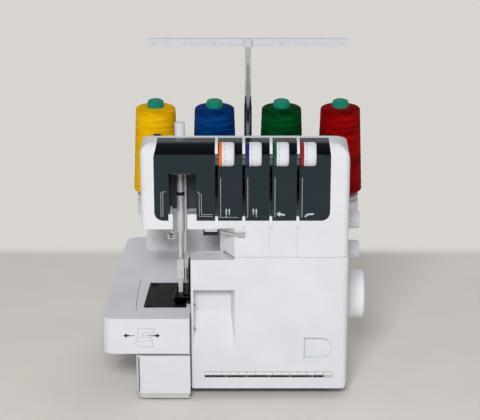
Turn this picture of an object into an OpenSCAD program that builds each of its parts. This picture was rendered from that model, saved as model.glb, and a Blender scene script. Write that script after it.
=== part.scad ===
// Overlock sewing machine with free arm, four thread cones and a telescopic thread stand.
// X runs along the machine to the handwheel, Y from the front to the back, Z up.
// Sizes are worked out in a bench frame: X 0 is the middle of the body, Y 0 the front of the casing,
// Z 0 the surface that the machine stands on. place() then moves all of it to the middle of its base.

/* [Body] */
// Distance from the middle of the body to its left end, at the head
body_left = 118; // [108:1:140]
// Distance from the middle of the body to its right end
body_right = 120; // [112:1:145]
// Depth of the body
body_d = 150; // [146:1:190]
// Height of the crest of the body above the surface
body_top = 313; // [300:1:340]
// Wall of the casings
wall = 3; // [2.4:0.1:4]
// Height of the underside of the head
head_z = 212; // [204:1:220]
// Height of the seam between the upper casing and the looper cover
seam_z = 178; // [174:1:186]
// Depth at which the front casing meets the rear cover
split_y = 95; // [90:1:105]
// Rounding of the casings' upright edges at the front
edge_r = 7; // [5:0.5:10]
// Rounding of the casings' upright edges at the back
back_r = 12; // [6:0.5:18]
// Height of the bottom of the casings
skirt_z = 10; // [9.8:0.2:12]
// Thickness of the base plate
base_t = 6.4; // [5:0.2:7]

/* [Fascia] */
// Distance from the middle to the left end of the dark front panel
fascia_left = 102.5; // [96:0.5:104]
// Distance from the middle to the right end of the dark front panel
fascia_right = 98; // [94:0.5:104]
// Height of the panel's lower edge
fascia_z = 222.5; // [218:0.5:226]
// Thickness of the panel
fascia_t = 1.6; // [1.2:0.1:1.8]
// How far the panel runs back over the crest
fascia_back = 28; // [26:1:32]
// Distance between thread channels
channel_pitch = 30.9; // [29:0.1:33]
// Place of the first thread channel
channel_x = -31.4; // [-34:0.1:-29]
// Width of a thread channel
channel_w = 3.4; // [2.4:0.1:4]

/* [Tension dials] */
// Radius of a tension dial
dial_r = 14.5; // [12:0.5:15]
// Width of a tension dial
dial_w = 17.4; // [15:0.1:18.5]
// Radius of the shaft in a tension dial
dial_shaft_r = 2; // [1.5:0.1:3]

/* [Free arm and table] */
// Height of the sewing surface
bed_z = 105; // [100:1:110]
// Depth of the free arm
arm_d = 101; // [96:1:106]
// Left end of the free arm, from the middle
arm_left = 127; // [122:1:135]
// Left end of the extension table at the front, from the middle
table_left = 166; // [158:1:190]
// Depth of the extension table
table_d = 273; // [250:1:300]
// Height of the table's skirt
table_h = 44; // [38:1:46]
// Wall of the extension table
table_wall = 3; // [2.4:0.1:4]
// Thickness of the needle plate
plate_t = 2; // [1.6:0.1:2.4]

/* [Looper cover] */
// Left edge of the looper cover, from the middle
cover_left = 62; // [60:0.5:63]
// Depth of the looper cover at its left end
cover_d = 25; // [24:1:27]
// Depth of the scrap chute in the cover
chute_d = 20; // [15:1:21]

/* [Needle group] */
// Place of the presser bar, from the middle
presser_x = -74.2; // [-75:0.1:-73]
// Depth at which the presser bar stands
presser_y = 50; // [49:0.5:51]
// Radius of the thick part of the presser bar
presser_r = 4.2; // [3.8:0.1:4.4]
// Radius of the needle bar
needle_bar_r = 2.2; // [1.8:0.1:2.4]
// Travel of the needle bar below its place at rest
needle_down = 14; // [10:1:15]
// Distance between the two needles
needle_gap = 3.6; // [3:0.1:4]

/* [Drive] */
// Radius of the main shaft
shaft_r = 5; // [4:0.5:6]
// Depth at which the main shaft runs
shaft_y = 78; // [77:1:82]
// Height of the main shaft
shaft_z = 101; // [98:1:110]
// Radius of the handwheel
wheel_r = 29; // [25:0.5:34]
// Width of the handwheel
wheel_w = 21.5; // [16:0.5:28]
// Radius of the belt pulley on the main shaft
pulley_r = 27; // [22:0.5:30]
// Radius of the belt pulley on the motor
motor_pulley_r = 9; // [7:0.5:11]
// Radius of the motor
motor_r = 24; // [18:0.5:26]

/* [Thread stand] */
// Height of the tray's top
tray_z = 191; // [184:1:196]
// Distance from the middle of the stand to an inner cone
pin_inner = 41; // [38:0.5:44]
// Distance from the middle of the stand to an outer cone
pin_outer = 113; // [106:0.5:122]
// Radius of a thread cone at its foot
cone_r = 28; // [22:0.5:29]
// Radius of a thread cone at its shoulder
cone_top_r = 24.3; // [18:0.5:27]
// Height of a thread cone's tube
cone_h = 114; // [95:1:118]
// Height of the thread guide bar's top
bar_top = 391; // [380:1:420]
// Radius of the upper stage of the telescopic pole
pole_r = 3.9; // [3:0.1:4.6]
// Wall of each tube of the telescopic pole
pole_wall = 0.45; // [0.4:0.05:0.8]

/* [Hidden] */
$fn = 48;
eps = 0.01;
fit = 0.05;                 // radial running clearance of a pin in a bore
gap = 0.5;                  // clearance between a moving body and its neighbours

white = [0.88, 0.89, 0.91];
dark = [0.2, 0.23, 0.26];
steel = [0.75, 0.76, 0.78];
cast = [0.62, 0.63, 0.64];

// Body
crest_r = 13;               // rounding of the front upper edge
crest_y = 36;               // where the top starts to slope down to the back
top_slope = 24;             // slope of the top, degrees
back_top = body_top - (body_d - crest_y) * tan(top_slope);
column_front = -11;         // left side of the column at the front
column_back = -28;          // left side of the column further back
column_turn = 28;           // depth at which the column's left side turns straight back
lower_y = 64;               // front of the rear cover, below the seam
skirt_low = 118;            // foot of the flank's skirt, behind the looper cover
bed_left = -61;             // left end of the rear cover's bed
apron_y = 112;              // front of the apron that hangs from the head behind the foot
apron_low = head_z - 66;    // lower edge of the apron
feet_h = 3;
base_z = feet_h;
base_top = base_z + base_t;
body_z0 = skirt_z;
foot_places = [[-106, 14], [-106, body_d - 22], [96, 42], [96, body_d - 22], [0, 42]];
base_front = 22;            // front of the base plate under the looper cover

// Fascia
fascia_bottom_r = 10;
needle_slot = [-86.4, -54.4];   // needle bay's opening in the front
needle_slot_top = 279;
narrow_slot = [-81.5, -65];     // opening between the white blocks at the bottom
block_top = 230;
channels = [for (i = [0:3]) channel_x + i * channel_pitch];
guide_z = head_z + 2;           // foot of the lower thread guides
guide_top = head_z + 15.5;      // head of the lower thread guides
guide_depth = 2.7;
guide_proud = 0.4;              // how far the guides stand out of the casing

// Tension
dial_y = 9.5;
dial_z = body_top - 14;
dial_gap = 2.8;             // from a channel to its dial
disc_r = 6;

// Free arm and table
arm_y = 14;
arm_y1 = arm_y + arm_d;
housing_front = -8;
housing_top = 57;
housing_r = 12;
shell_top = bed_z - plate_t;     // seat of the needle plate
arm_top = bed_z - 0.3;
table_front = -10;
table_back = table_front + table_d;
table_taper = 16;           // how much narrower the table is at the back
table_right = -63.5;
label = [-142, -76, 66, 96];    // printed field on the table's front: left, right, low, high
plate = [-118.5, -68, 25, 103];
plate_taper = 4.5;          // the plate's left edge leans in by this towards the back
guide_eye_z = head_z - 20.6; // top of the eye below the head that leads the thread to the needles
opening = [-100, -66, 37, 93];  // opening in the arm under the needle plate

// Looper cover
cover_right = body_right + 1;
cover_z0 = 12;
cover_ledge = seam_z - 3.5;
cover_wall = 2.5;
cover_back = 18;
chute = [-59, -11, 66.5, 137];
chute_bend = 104;
grip = [70, 103, 51, 77];   // finger recess: left, right, low, high
grip_d = 6;
hinge_y = 6.5;
hinge_z = 21;
hinge_r = 2.5;
cover_arms = [-30, 48];
bay_y = 58;                 // front of the frame's bay wall
lamp = [-47, -29.5];
lamp_y = 3;
lamp_low = head_z - 8.6;        // underside of the lamp
lamp_lens = 3.9;                // height of the lamp's lower part

// Needle group
needle_x = presser_x + 5.3;
needle_y = presser_y + 5;
foot_z = bed_z + 0.3;
foot_t = 5.5;
foot_pivot_z = foot_z + 13;
foot_pivot_y = presser_y + 1;
thin_r = 2.6;
thick_z = 190;
bar_end = 288;
collar_z = [237, 241];
collar_t = 0.5;
lifter_x = -50;
lifter_z = 236;
lug = [264, 290];
liner_back = 62;

// Drive
shaft_x = -22;
wheel_x = body_right + 2.5;
wheel_end = wheel_x + wheel_w;
frame_wall = 8;
frame_left = -10;
frame_right = body_right - 24;
frame_back = body_d - 12;
pulley_x = frame_right + frame_wall + 2.5;
pulley_w = 7;
belt_t = 2;
motor_y = 112;
motor_z = 47;
bush_t = 3;
inlet_y = [body_d - 26, body_d - 5];
side_dial_r = 11.5;
side_dial_w = 16;
stitch_dial_z = 196.5;
diff_dial_z = 158.5;

// Carry handle
handle_y = crest_y + 10;
handle_z = body_top - (handle_y - crest_y) * tan(top_slope);
handle_x = [-100, 97];
handle_w = 8;
handle_len = 84;
handle_grip = 16;
handle_pin_z = -0.4;
handle_pin_r = 2;

// Thread stand
stand_x = 5;
cone_y = body_d + 32;
tray_t = 17;
tray_half_d = 30;
tray_left = 136;
pins = [stand_x - pin_outer, stand_x - pin_inner, stand_x + pin_inner, stand_x + pin_outer];
cone_z = tray_z + 9;
pin_r = 3;
pin_h = 62;
core_r = 10;
core_wall = 1.6;
core_foot_r = 17;
bar_h = 9.5;
pole_joint_1 = 308;
pole_joint_2 = 318;
bar_half = 121.5;

x_low = min([for (p = table_outline(0)) p[0]]);
x_high = max(wheel_end, stand_x + pin_outer + cone_r);
y_low = table_front;
y_high = max(table_back, cone_y + tray_half_d);

// ---------- helpers ----------
module place() translate([-(x_low + x_high) / 2, -(y_low + y_high) / 2, 0]) children();

// A flat shape in X and Z, from depth y0 to y1
module along_y(y0, y1) translate([0, y1, 0]) rotate([90, 0, 0]) linear_extrude(y1 - y0) children();

// A flat shape in Y and Z, from x0 to x1
module along_x(x0, x1) translate([x0, 0, 0]) rotate([90, 0, 90]) linear_extrude(x1 - x0) children();

// A flat shape in X and Y, from z0 to z1
module along_z(z0, z1) translate([0, 0, z0]) linear_extrude(z1 - z0) children();

module block(x, y, z) translate([x[0], y[0], z[0]]) cube([x[1] - x[0], y[1] - y[0], z[1] - z[0]]);
module rod_x(x0, x1, y, z, r) translate([x0, y, z]) rotate([0, 90, 0]) cylinder(h = x1 - x0, r = r);
module rod_y(y0, y1, x, z, r) translate([x, y0, z]) rotate([-90, 0, 0]) cylinder(h = y1 - y0, r = r);
module rod_z(z0, z1, x, y, r) translate([x, y, z0]) cylinder(h = z1 - z0, r = r);

function unit(v) = v / norm(v);
function turn(a) = a > 180 ? a - 360 : a < -180 ? a + 360 : a;

// Points of the arc of radius r that rounds corner b of an outline, coming from a and going to c
function corner_arc(a, b, c, r, n) =
    let (u = unit(a - b), v = unit(c - b), half = acos(u * v) / 2,
         middle = b + unit(u + v) * r / sin(half),
         p = b + u * r / tan(half) - middle, q = b + v * r / tan(half) - middle,
         a0 = atan2(p.y, p.x), sweep = turn(atan2(q.y, q.x) - a0))
    [for (i = [0:n]) middle + r * [cos(a0 + sweep * i / n), sin(a0 + sweep * i / n)]];

// An outline of [x, y, radius] corners, with each corner rounded
function rounded(c, n = 5) =
    let (m = len(c))
    [for (i = [0:m - 1])
        let (b = [c[i][0], c[i][1]], a = c[(i + m - 1) % m], d = c[(i + 1) % m])
        each (c[i][2] > 0 ? corner_arc([a[0], a[1]], b, [d[0], d[1]], c[i][2], n) : [b])];

// Plan of the extension table, w inside its skin
function table_outline(w) = rounded([[-table_left + w, table_front + w, 14 - w], [table_right,
    table_front + w, 0],
    [table_right, table_back - w, 0], [-table_left + table_taper + w, table_back - w, 14 - w]]);

module screw_head(r, h) {
    difference() {
        cylinder(h = h, r = r);
        translate([-r, -0.3, h - 0.6]) cube([2 * r, 0.6, 1]);
    }
}

// ---------- body shells ----------
// Side view of the body, w inside its skin
function side_profile(w) = rounded([
    [w, -1, 0], [w, body_top - w, max(crest_r - w, 1)],
    [crest_y, body_top - w, 4], [body_d - w, back_top - w, 8], [body_d - w, -1, 0]]);

// Front view of the upper body, w inside its skin
function upper_outline(w) = rounded([
    [-body_left + w, head_z + w, 4], [column_back + w, head_z + w, 0], [column_back + w, seam_z, 0],
    [body_right - w, seam_z, 0], [body_right - w, body_top - w, 20 - w],
    [-body_left + w, body_top - w, 13 - w]]);

// The column's left side opens out from the front towards the back
module column_flank(w) {
    along_z(seam_z - 1, head_z + 1 - eps)
        polygon([[column_back - 1 + w, -1], [column_front + w, -1], [column_front + w, w],
            [column_back + w, column_turn + w], [column_back - 1 + w, column_turn + w]]);
}

// Plan of the body, w inside its skin
function body_plan(w) = rounded([
    [-body_left + w, w, edge_r - w], [body_right - w, w, edge_r - w],
    [body_right - w, body_d - w, back_r - w], [-body_left + w, body_d - w, back_r - w]]);

module upper_body(w) {
    difference() {
        intersection() {
            along_y(w, body_d) polygon(upper_outline(w));
            along_x(-body_left - 1, body_right + 1) polygon(side_profile(w));
            along_z(seam_z - 2, body_top + 1) polygon(body_plan(w));
        }
        handle_recess(w);
    }
}

// Front end of the head bridges across the column's open flank
module upper_solid(w) {
    difference() {
        upper_body(w);
        if (w == 0) column_flank(0);
        if (w > 0) block([-body_left, column_front + w], [-1, column_turn + w], [seam_z - 1, head_z + w]);
    }
}

// Runs the flank on down behind the looper cover, so that the column is closed there
module flank_skirt() {
    x = function (y) column_front + (column_back - column_front) * y / column_turn;
    along_z(skirt_low, seam_z + 1)
        polygon([[x(cover_d + 1), cover_d + 1], [column_back, column_turn], [column_back, lower_y - 0.2],
            [column_back + wall, lower_y - 0.2], [column_back + wall, column_turn],
            [x(cover_d + 1) + wall, cover_d + 1]]);
}

module fascia_prism(extra) {
    along_y(-1, fascia_back + extra)
        polygon(rounded([[-fascia_left - extra, fascia_z - extra, fascia_bottom_r],
            [fascia_right + extra, fascia_z - extra, fascia_bottom_r],
            [fascia_right + extra, body_top - 12, 0], [fascia_right - 2, body_top + 2, 0],
            [-fascia_left + 4, body_top + 2, 0], [-fascia_left - extra, body_top - 14, 0]]));
}

// White blocks of the casing that stand up through the panel's lower edge, w bigger all round
module bay_blocks(w) {
    block([needle_slot[0] - w, needle_slot[1] + w], [-1, 4], [fascia_z - 2, block_top + w]);
}

// What is cut through the front: the needle bay's opening, the channels and the dials' slots
module front_cuts() {
    block(needle_slot, [-1, 4], [block_top, needle_slot_top]);
    block(narrow_slot, [-1, 4], [head_z - 1, block_top + 1]);
    for (x = channels) {
        block([x - channel_w / 2, x + channel_w / 2], [-1, fascia_back + 3], [head_z + 15, body_top + 1]);
        block([x - channel_w / 2, x + channel_w / 2], [-1, guide_depth], [guide_z, head_z + 16]);
        rod_x(x + dial_gap - gap, x + dial_gap + dial_w + gap, dial_y, dial_z, dial_r + gap);
    }
}

module front_casing() {
    color(white) place() {
        difference() {
            union() {
                difference() {
                    upper_solid(0);
                    upper_solid(wall);
                }
                flank_skirt();
            }
            block([-body_left - 1, body_right + 1], [split_y, body_d + 1], [0, body_top + 1]);
            difference() {
                fascia_prism(fit);
                upper_body(fascia_t + fit);
                bay_blocks(0);
            }
            front_cuts();
            // opening under the needle bay
            block([needle_slot[0], needle_slot[1]], [wall + 1, liner_back + 4], [head_z - 1,
                head_z + wall + 1]);
            // channels for the looper threads run on down the column
            for (i = [2, 3]) block([channels[i] - 1.4, channels[i] + 1.4], [-1, 1.2], [seam_z - 1,
                head_z + 16]);
            rod_z(body_top - 30, body_top + 5, presser_x, presser_y, 6.5);
            rod_x(body_right - 10, body_right + 5, shaft_y, stitch_dial_z, 6);
        }
    }
}

module rear_cover() {
    color(white) place() {
        difference() {
            union() {
                intersection() {
                    upper_body(0);
                    block([-body_left - 1, body_right + 1], [split_y + 0.1, body_d + 1], [seam_z,
                        body_top]);
                }
                intersection() {
                    block([column_back, body_right], [lower_y, body_d], [body_z0, seam_z]);
                    along_z(body_z0, seam_z) polygon(body_plan(0));
                }
                block([bed_left, column_back + 1], [lower_y, body_d], [body_z0, shell_top]);
                intersection() {
                    block([-body_left, column_back + 1], [apron_y, body_d], [apron_low, head_z + 1]);
                    along_z(apron_low - 1, head_z + 2) polygon(body_plan(0));
                }
            }
            intersection() {
                block([-body_left, column_back], [apron_y + wall, body_d],
                    [apron_low + wall, head_z + wall + 1]);
                along_z(apron_low, head_z + wall + 2) polygon(body_plan(wall));
            }
            intersection() {
                upper_body(wall);
                block([-body_left, body_right], [split_y - 1, body_d - wall], [seam_z - 1, body_top]);
            }
            block([column_back + wall, body_right - wall], [lower_y - 1, body_d - wall], [0, seam_z + 1]);
            block([column_back + wall, body_right - wall], [split_y + wall, body_d - wall], [0,
                head_z + wall + 1]);
            block([bed_left + wall, column_back + wall + 1], [lower_y - 1, body_d - wall], [0,
                shell_top - wall]);
            rod_x(body_right - 10, body_right + 5, shaft_y, shaft_z, shaft_r + 2);
            rod_x(body_right - 10, body_right + 5, shaft_y, diff_dial_z, 6);
            block([body_right - 5, body_right + 5], [inlet_y[0] - 0.2, inlet_y[1] + 0.2], [29.8, 50.2]);
            block([body_right - 5, body_right + 5], [inlet_y[0] - gap, inlet_y[1] + gap], [61.5, 74.5]);
            rod_y(inlet_y[0] - 2, inlet_y[1] + 2, body_right - 4, 68, 1.5 + fit);
            rod_y(body_d - 5, body_d + 1, lifter_x, lifter_z, 3 + gap);
            // cooling slots over the motor
            for (i = [0:7]) block([20 + i * 8, 24 + i * 8], [body_d - 5, body_d + 5], [40, 80]);
        }
    }
}

module side_panel() {
    color(white) place() {
        difference() {
            block([body_right - wall, body_right], [cover_back + 2, lower_y - 0.2], [body_z0,
                seam_z - 0.2]);
            for (z = [body_z0 + 20, seam_z - 20]) rod_x(body_right - 5, body_right + 1, 40, z, 1.8);
        }
    }
}

module fascia_panel() {
    color(dark) place() {
        difference() {
            intersection() {
                fascia_prism(0);
                difference() {
                    upper_body(0);
                    upper_body(fascia_t);
                }
            }
            bay_blocks(fit);
            front_cuts();
        }
    }
}

module needle_bay_liner() {
    color(dark) place() {
        difference() {
            block([needle_slot[0] - 2, needle_slot[1] + 2], [wall + 0.2, liner_back + 2],
                [head_z + wall + 0.2, needle_slot_top + 2]);
            block([needle_slot[0] + 0.2, needle_slot[1] - 0.2], [wall - 1, liner_back], [head_z - 1,
                needle_slot_top]);
            block([presser_x - 10, needle_x + 8], [presser_y - 9, liner_back + 3], [lug[0] - 0.5,
                lug[1]]);
        }
    }
}

// ---------- base and frame ----------
module base_plate() {
    color(white) place() {
        difference() {
            along_z(base_z, base_top)
                polygon(rounded([[-arm_left, housing_front, housing_r], [-cover_left - 2,
                    housing_front, 0],
                    [-cover_left - 2, base_front, 0], [body_right - 2, base_front, 6], [body_right - 2,
                        body_d - 1, 6],
                    [-arm_left, body_d - 1, housing_r]]));
            for (p = foot_places) rod_z(base_z - 1, base_z + 4, p[0], p[1], 4 + fit);
        }
    }
}

module rubber_feet() {
    color([0.08, 0.08, 0.08]) place() {
        for (p = foot_places) translate([p[0], p[1], 0]) rotate_extrude()
            polygon([[0, 0], [16, 0], [18, 1.4], [18, feet_h], [4, feet_h], [4, feet_h + 3.5], [0,
                feet_h + 3.5]]);
    }
}

module main_frame() {
    color(cast) place() {
        difference() {
            union() {
                block([-56, frame_right + frame_wall], [bay_y, frame_back], [base_top + 0.6, 16]);
                // bay wall that carries the loopers
                block([-56, frame_left + frame_wall], [bay_y, bay_y + 8], [15, shell_top - wall - 2]);
                block([frame_left, frame_left + frame_wall], [lower_y, frame_back], [15, 246]);
                block([frame_right, frame_right + frame_wall], [bay_y + 8, frame_back], [15, 246]);
                // arm into the head, and the block that guides the two bars
                block([-108, frame_right + frame_wall], [88, 112], [226, 246]);
                block([presser_x - 9, needle_x + 7], [66, 74], [226, lug[1]]);
                block([presser_x - 9, needle_x + 7], [66, 90], [226, 246]);
                block([presser_x - 9, needle_x + 7], [presser_y - 8, 67], lug);
                // post for the upper knife
                block([-61.4, -55], [49, bay_y + 1], [50, 156]);
                // arms that carry the looper cover's rod
                for (x = cover_arms) {
                    block([x, x + 6], [hinge_y, bay_y + 4], [hinge_z - 3, hinge_z + 3]);
                    block([x, x + 6], [bay_y, bay_y + 4], [15, hinge_z + 3]);
                    rod_x(x, x + 6, hinge_y, hinge_z, hinge_r + 1.2);
                }
            }
            for (x = cover_arms) rod_x(x - 1, x + 7, hinge_y, hinge_z, hinge_r + fit);
            rod_z(lug[0] - 1, lug[1] + 1, presser_x, presser_y, presser_r + fit);
            rod_z(lug[0] - 1, lug[1] + 1, needle_x, needle_y, needle_bar_r + fit);
            for (x = [frame_left, frame_right])
                rod_x(x - 1, x + frame_wall + 1, shaft_y, shaft_z, shaft_r + bush_t);
            rod_x(-62, -54, 53, 150, 2 + fit);
            rod_y(bay_y - 1, bay_y + 9, -30, 40, 3 + fit);
            rod_y(bay_y - 1, bay_y + 9, -24, 72, 3 + fit);
            rod_x(frame_right - 1, frame_right + frame_wall + 1, motor_y, motor_z, 4 + gap);
            rod_y(80, 120, lifter_x, lifter_z, 3 + fit);
        }
    }
}

module shaft_bearings() {
    color([0.72, 0.5, 0.25]) place() {
        for (x = [frame_left, frame_right]) difference() {
            rod_x(x, x + frame_wall, shaft_y, shaft_z, shaft_r + bush_t);
            rod_x(x - 1, x + frame_wall + 1, shaft_y, shaft_z, shaft_r + fit);
        }
    }
}

// ---------- free arm, plate and table ----------
// Needle plate in plan, w bigger all round, and the place of its left edge at a depth
function plate_edge(y) = plate[0] + plate_taper * (y - plate[2]) / (plate[3] - plate[2]);
function plate_plan(w) = [[plate[0] - w, plate[2] - w], [plate[1] + w, plate[2] - w],
    [plate[1] + w, plate[3] + w], [plate[0] + plate_taper - w, plate[3] + w]];
plate_screws = [plate[2] + 5, plate[3] - 5];

module free_arm_shell() {
    color(white) place() {
        difference() {
            union() {
                along_z(base_top, housing_top)
                    polygon(rounded([[-arm_left, housing_front, housing_r], [-cover_left - 1,
                        housing_front, 0],
                        [-cover_left - 1, body_d - 1, 0], [-arm_left, body_d - 1, housing_r]]));
                along_z(housing_top - eps, arm_top)
                    polygon(rounded([[-arm_left + gap, arm_y, 8], [-cover_left - 1, arm_y, 0],
                        [-cover_left - 1, arm_y1, 0], [-arm_left + gap, arm_y1, 8]]));
            }
            block([-arm_left + wall, -cover_left], [housing_front + wall, body_d - 1 - wall], [0,
                housing_top - wall]);
            block([-arm_left + 2 + wall, -cover_left], [arm_y + wall, arm_y1 - wall],
                [housing_top - wall - 1, shell_top - wall]);
            block([opening[0], -cover_left], [opening[2], opening[3]], [shell_top - wall - 1, bed_z]);
            along_z(shell_top, bed_z) polygon(plate_plan(fit));
            for (y = plate_screws) rod_z(shell_top - 4, shell_top + 1, plate_edge(y) + 6, y, 1.5 + fit);
        }
    }
}

module needle_plate() {
    color([0.16, 0.15, 0.11]) place() {
        difference() {
            along_z(shell_top, bed_z) polygon(plate_plan(0));
            // needle hole and the feed dogs' slots
            block([needle_x - 5, plate[1] + 1], [needle_y - 3, needle_y + 3], [shell_top - 1, bed_z + 1]);
            for (x = [-84, -79]) block([x - 1.7, x + 1.7], [42.5, 86], [shell_top - 1, bed_z + 1]);
            for (y = plate_screws) rod_z(shell_top - 1, bed_z + 1, plate_edge(y) + 6, y, 1.5 + fit);
        }
    }
}

module needle_plate_screws() {
    color(steel) place() {
        for (y = plate_screws) {
            rod_z(shell_top - 3, bed_z + 0.02, plate_edge(y) + 6, y, 1.5);
            translate([plate_edge(y) + 6, y, bed_z]) screw_head(3, 0.9);
        }
    }
}

module lower_knife() {
    color(steel) place() {
        block([-67.6, -65.9], [38, 43.4], [88, bed_z - 0.3]);
        block([-65.9, -63.4], [38, 43.4], [86, bed_z - 6]);
    }
}

module table_plan(w) polygon(table_outline(w));

module extension_table() {
    color(white) place() {
        difference() {
            along_z(bed_z - table_h, bed_z) table_plan(0);
            along_z(bed_z - table_h - 1, bed_z - table_wall) table_plan(table_wall);
            block([label[0], label[1]], [table_front - 1, table_front + 0.15], [label[2], label[3]]);
            // room for the free arm and its housing, open to the right
            along_z(bed_z - table_h - 1, bed_z + 1)
                polygon(rounded([[-arm_left - 0.5, arm_y - 1.2, 8], [table_right + 1, arm_y - 1.2, 0],
                    [table_right + 1, arm_y1 + 1.2, 0], [-arm_left - 0.5, arm_y1 + 1.2, 8]]));
        }
    }
}

// ---------- looper cover ----------
module chute_space(w) {
    intersection() {
        along_x(-cover_left - 1, chute[1] + w)
            polygon([[-5, chute[3] + w], [chute_d + w, chute[3] + w], [chute_d + w, chute_bend - w / 2],
                [0, chute[2] - w], [-5, chute[2] - w]]);
        along_z(chute[2] - 5, chute[3] + 5)
            polygon([[chute[0] - w, -6], [chute[1] + w, -6], [chute[1] + w, 0], [chute[1] - 5 + w,
                chute_d + w],
                [chute[0] - w, chute_d + w]]);
    }
}

module grip_space(w) {
    high = grip[3] + w;
    low = grip[2] - w;
    along_y(-1, grip_d + w) union() {
        polygon([[grip[0] - w, low], [grip[1] - (high - low) / 2, low], [grip[1] - (high - low) / 2,
            high],
            [grip[0] - w, high]]);
        translate([grip[1] - (high - low) / 2 + w, (high + low) / 2]) circle(r = (high - low) / 2);
    }
}

module looper_cover() {
    color(white) place() {
        difference() {
            union() {
                difference() {
                    intersection() {
                        along_y(0, cover_d) polygon(rounded([[-cover_left, cover_z0, 3], [cover_right,
                            cover_z0, 5],
                            [cover_right, seam_z - 0.4, 2], [column_front, seam_z - 0.4, 0],
                            [column_front, cover_ledge, 0], [-cover_left, cover_ledge, 2]]));
                        along_z(0, seam_z) polygon(rounded([[-cover_left, 0, 2], [cover_right, 0, edge_r],
                            [cover_right, cover_d, 0], [-cover_left, cover_d, 0]]));
                    }
                    block([-cover_left + cover_wall, cover_right - cover_wall], [cover_wall, cover_d + 1],
                        [cover_z0 + cover_wall, cover_ledge - cover_wall]);
                    block([column_front - 1, cover_right + 1], [cover_back, cover_d + 1], [0,
                        seam_z + 1]);
                    block([-cover_left - 1, cover_right + 1], [cover_wall + 0.5, cover_d + 1], [0,
                        hinge_z - 4]);
                }
                intersection() {
                    union() {
                        chute_space(cover_wall);
                        grip_space(cover_wall);
                    }
                    block([-cover_left + 0.5, cover_right - 1], [1, cover_d - 1], [cover_z0 + 1,
                        cover_ledge - 1]);
                }
                // hinge knuckles
                for (x = [-50, 60]) rod_x(x, x + 12, hinge_y, hinge_z, hinge_r + 2.5);
                for (x = [-50, 60]) block([x, x + 12], [1, hinge_y], [hinge_z - 3, hinge_z + 3]);
            }
            chute_space(0);
            grip_space(0);
            for (x = [-50, 60]) rod_x(x - 1, x + 13, hinge_y, hinge_z, hinge_r + fit);
        }
    }
}

module cover_hinge_rod() {
    color(steel) place() rod_x(-56, 92, hinge_y, hinge_z, hinge_r);
}

// ---------- thread tension ----------
module tension_dial(i) {
    x = channels[i] + dial_gap;
    color(white) place() difference() {
        union() {
            rod_x(x, x + 4, dial_y, dial_z, dial_r);
            rod_x(x + 4, x + dial_w - 2, dial_y, dial_z, dial_r - 0.3);
            translate([x + dial_w - 2 - eps, dial_y, dial_z]) rotate([0, 90, 0])
                cylinder(h = 2 + eps, r1 = dial_r - 0.3, r2 = dial_r - 1.5);
        }
        rod_x(x - 1, x + dial_w + 1, dial_y, dial_z, dial_shaft_r + fit);
    }
}

module tension_dial_1() tension_dial(0);
module tension_dial_2() tension_dial(1);
module tension_dial_3() tension_dial(2);
module tension_dial_4() tension_dial(3);

module tension_disc_sets() {
    color(steel) place() for (x = channels) {
        rod_x(x - 5, x + dial_gap + dial_w + 3, dial_y, dial_z, dial_shaft_r);
        for (s = [0, 1]) difference() {
            translate([x - 1.2 + s * 1.4, dial_y, dial_z]) rotate([0, 90, 0]) cylinder(h = 1, r = disc_r);
            rod_x(x - 4, x + 4, dial_y, dial_z, dial_shaft_r);
        }
    }
}

module tension_bracket() {
    color(steel) place() difference() {
        union() {
            block([channels[0] - 8, channels[3] + dial_gap + dial_w + 6], [26, 28], [dial_z - 18,
                dial_z + 4]);
            for (x = channels) block([x - 5, x - 3], [dial_y - 4, 27], [dial_z - 5, dial_z + 4]);
        }
        for (x = channels) rod_x(x - 6, x - 2, dial_y, dial_z, dial_shaft_r);
    }
}

module top_thread_guides() {
    half = channel_w / 2 - fit;
    outer = crest_r + guide_proud;
    inner = crest_r - 1.4;
    color(white) place() for (x = channels) along_x(x - half, x + half)
        translate([crest_r, body_top - crest_r]) polygon(concat(
            [for (a = [90:10:170]) outer * [cos(a), sin(a)]],
            [for (a = [170:-10:90]) inner * [cos(a), sin(a)]],
            [[fascia_back + 2.9 - crest_r, inner], [fascia_back + 2.9 - crest_r, outer]]));
}

module channel_guides() {
    half = channel_w / 2 - fit;
    color([0.8, 0.83, 0.88]) place() for (x = channels) {
        along_x(x - half, x + half) polygon([[guide_depth - fit, guide_z + fit], [guide_depth - fit,
            guide_top],
            [1.6, guide_top], [-guide_proud, guide_top - 2], [-guide_proud, guide_z + 1.6], [0.4,
                guide_z + fit]]);
    }
}

module led_lamp() {
    color([0.9, 0.9, 0.85]) place() difference() {
        union() {
            block(lamp, [lamp_y, lamp_y + 12], [lamp_low, lamp_low + lamp_lens]);
            block(lamp + [1.5, -1.5], [lamp_y + 1.5, lamp_y + 10.5], [lamp_low + 1, head_z - 0.1]);
        }
        block(lamp + [1, -1], [lamp_y + 1, lamp_y + 11], [lamp_low - 1, lamp_low + 1.4]);
    }
}

module take_up_guard() {
    color(steel) place() along_y(-3.4, -0.4) polygon([[-28, head_z - 0.5], [-28, head_z - 2.5], [-4,
        head_z - 9],
        [1, head_z - 8.4], [1, head_z - 3], [-6, head_z - 4]]);
}

module bar_thread_guide() {
    color(white) place() {
        block([presser_x - 15.6, presser_x - 7.4], [presser_y, presser_y + 3],
            [guide_eye_z - 10, guide_eye_z]);
        block([needle_slot[0] + 0.2, needle_slot[0] + 2.4], [presser_y, presser_y + 3],
            [guide_eye_z, head_z + 10]);
    }
}

// ---------- needle and presser group ----------
module needle_bar() {
    color(steel) place() rod_z(156, bar_end, needle_x, needle_y, needle_bar_r);
}

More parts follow.
